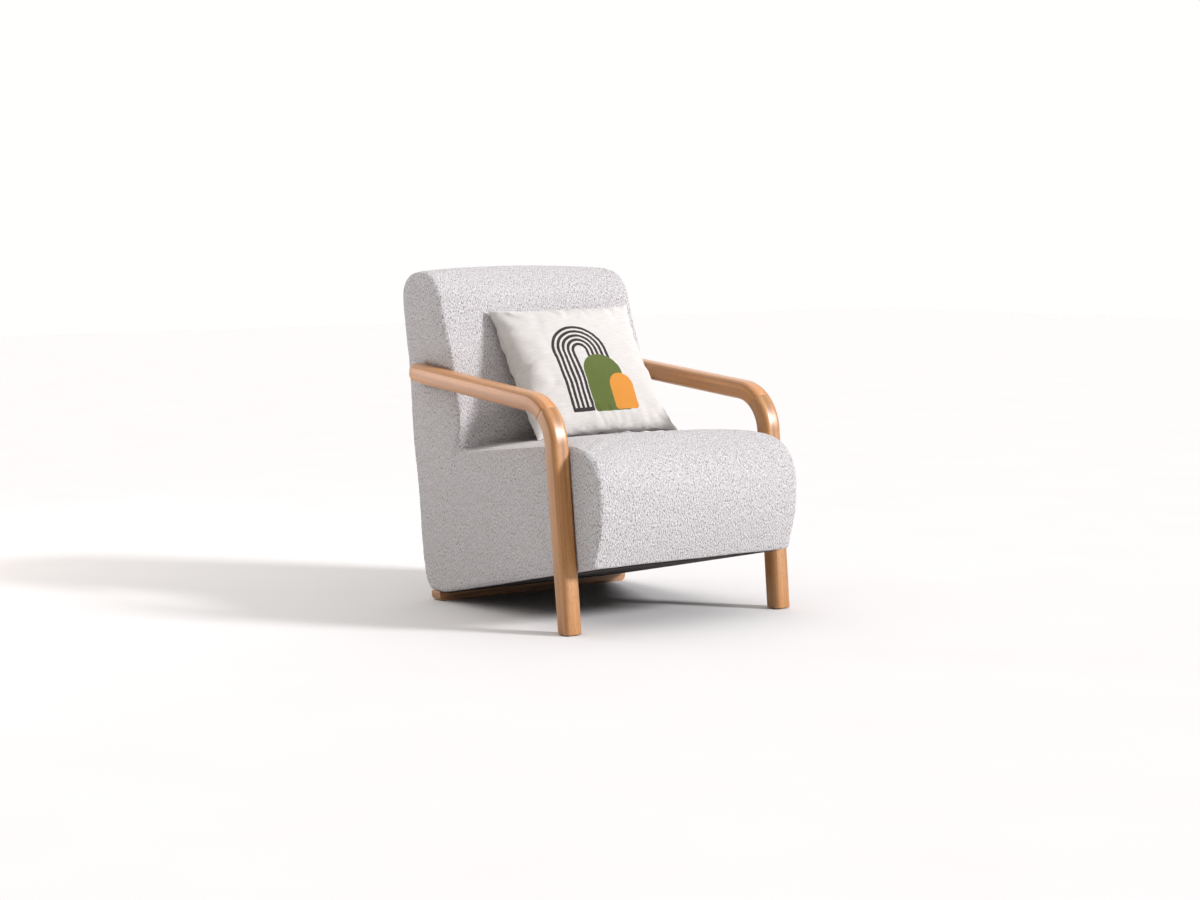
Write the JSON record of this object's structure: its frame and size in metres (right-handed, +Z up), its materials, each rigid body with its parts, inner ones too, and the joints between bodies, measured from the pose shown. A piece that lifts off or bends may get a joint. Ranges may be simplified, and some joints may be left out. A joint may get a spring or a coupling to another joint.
{
  "type": "upholstered lounge armchair",
  "caption": "Low lounge armchair: upholstered one-piece seat and back block on bent wooden arms that run down into the front legs, with a foot board at the rear and a loose cushion.",
  "frame": {"origin": "on the floor at the middle of the chair's outer box, between the front legs and the back", "axes": "+X to the sitter's left, -Y the way the chair faces, +Z up"},
  "size_m": [0.6528, 0.8166, 0.7905],
  "materials": {
    "arm_beech": "satin",
    "leg_beech": "satin",
    "foot_beech": "satin",
    "dowel_beech": "matte",
    "birch_plywood": "matte",
    "pine_rail": "matte",
    "hardboard": "matte",
    "foam": "matte",
    "webbing": "matte",
    "boucle": "matte",
    "black_lining": "matte",
    "white_linen": "matte",
    "insert_brass": "satin",
    "nylon": "matte",
    "zinc_steel": "satin"
  },
  "bodies": {
    "chair": {"arm_bolt_left": "zinc_steel", "arm_bolt_right": "zinc_steel", "arm_insert_left": "insert_brass", "arm_insert_right": "insert_brass", "arm_washer_left": "zinc_steel", "arm_washer_right": "zinc_steel", "armrest_left": "arm_beech", "armrest_right": "arm_beech", "back_cover": "boucle", "back_foam": "foam", "back_top_rail": "pine_rail", "back_webbing_lower": "webbing", "back_webbing_middle": "webbing", "back_webbing_upper": "webbing", "corner_block_left": "pine_rail", "corner_block_right": "pine_rail", "dust_cover": "black_lining", "foot_screw_left": "zinc_steel", "foot_screw_middle": "zinc_steel", "foot_screw_right": "zinc_steel", "front_foam": "foam", "front_leg_left": "leg_beech", "front_leg_right": "leg_beech", "front_rail": "pine_rail", "joint_dowel_left_inner": "dowel_beech", "joint_dowel_left_outer": "dowel_beech", "joint_dowel_right_inner": "dowel_beech", "joint_dowel_right_outer": "dowel_beech", "leg_bolt_left_lower": "zinc_steel", "leg_bolt_left_upper": "zinc_steel", "leg_bolt_right_lower": "zinc_steel", "leg_bolt_right_upper": "zinc_steel", "leg_glide_left": "nylon", "leg_glide_right": "nylon", "leg_insert_left_lower": "insert_brass", "leg_insert_left_upper": "insert_brass", "leg_insert_right_lower": "insert_brass", "leg_insert_right_upper": "insert_brass", "leg_washer_left_lower": "zinc_steel", "leg_washer_left_upper": "zinc_steel", "leg_washer_right_lower": "zinc_steel", "leg_washer_right_upper": "zinc_steel", "lumbar_rail": "pine_rail", "rear_bottom_rail": "pine_rail", "rear_foot_board": "foot_beech", "rear_panel": "hardboard", "seat_cover": "boucle", "seat_foam": "foam", "seat_rear_rail": "pine_rail", "seat_spring_1": "zinc_steel", "seat_spring_2": "zinc_steel", "seat_spring_3": "zinc_steel", "seat_spring_4": "zinc_steel", "side_frame_left": "birch_plywood", "side_frame_right": "birch_plywood", "spring_clip_strip_front": "zinc_steel", "spring_clip_strip_rear": "zinc_steel", "top_foam": "foam"},
    "cushion": {"scatter_cushion": "white_linen"}
  },
  "joints": [
    {"name": "cushion_lift", "type": "slide", "parent": "chair", "child": "cushion", "axis": [0, 0, 1], "range_m": [0, 0.45]}
  ]
}
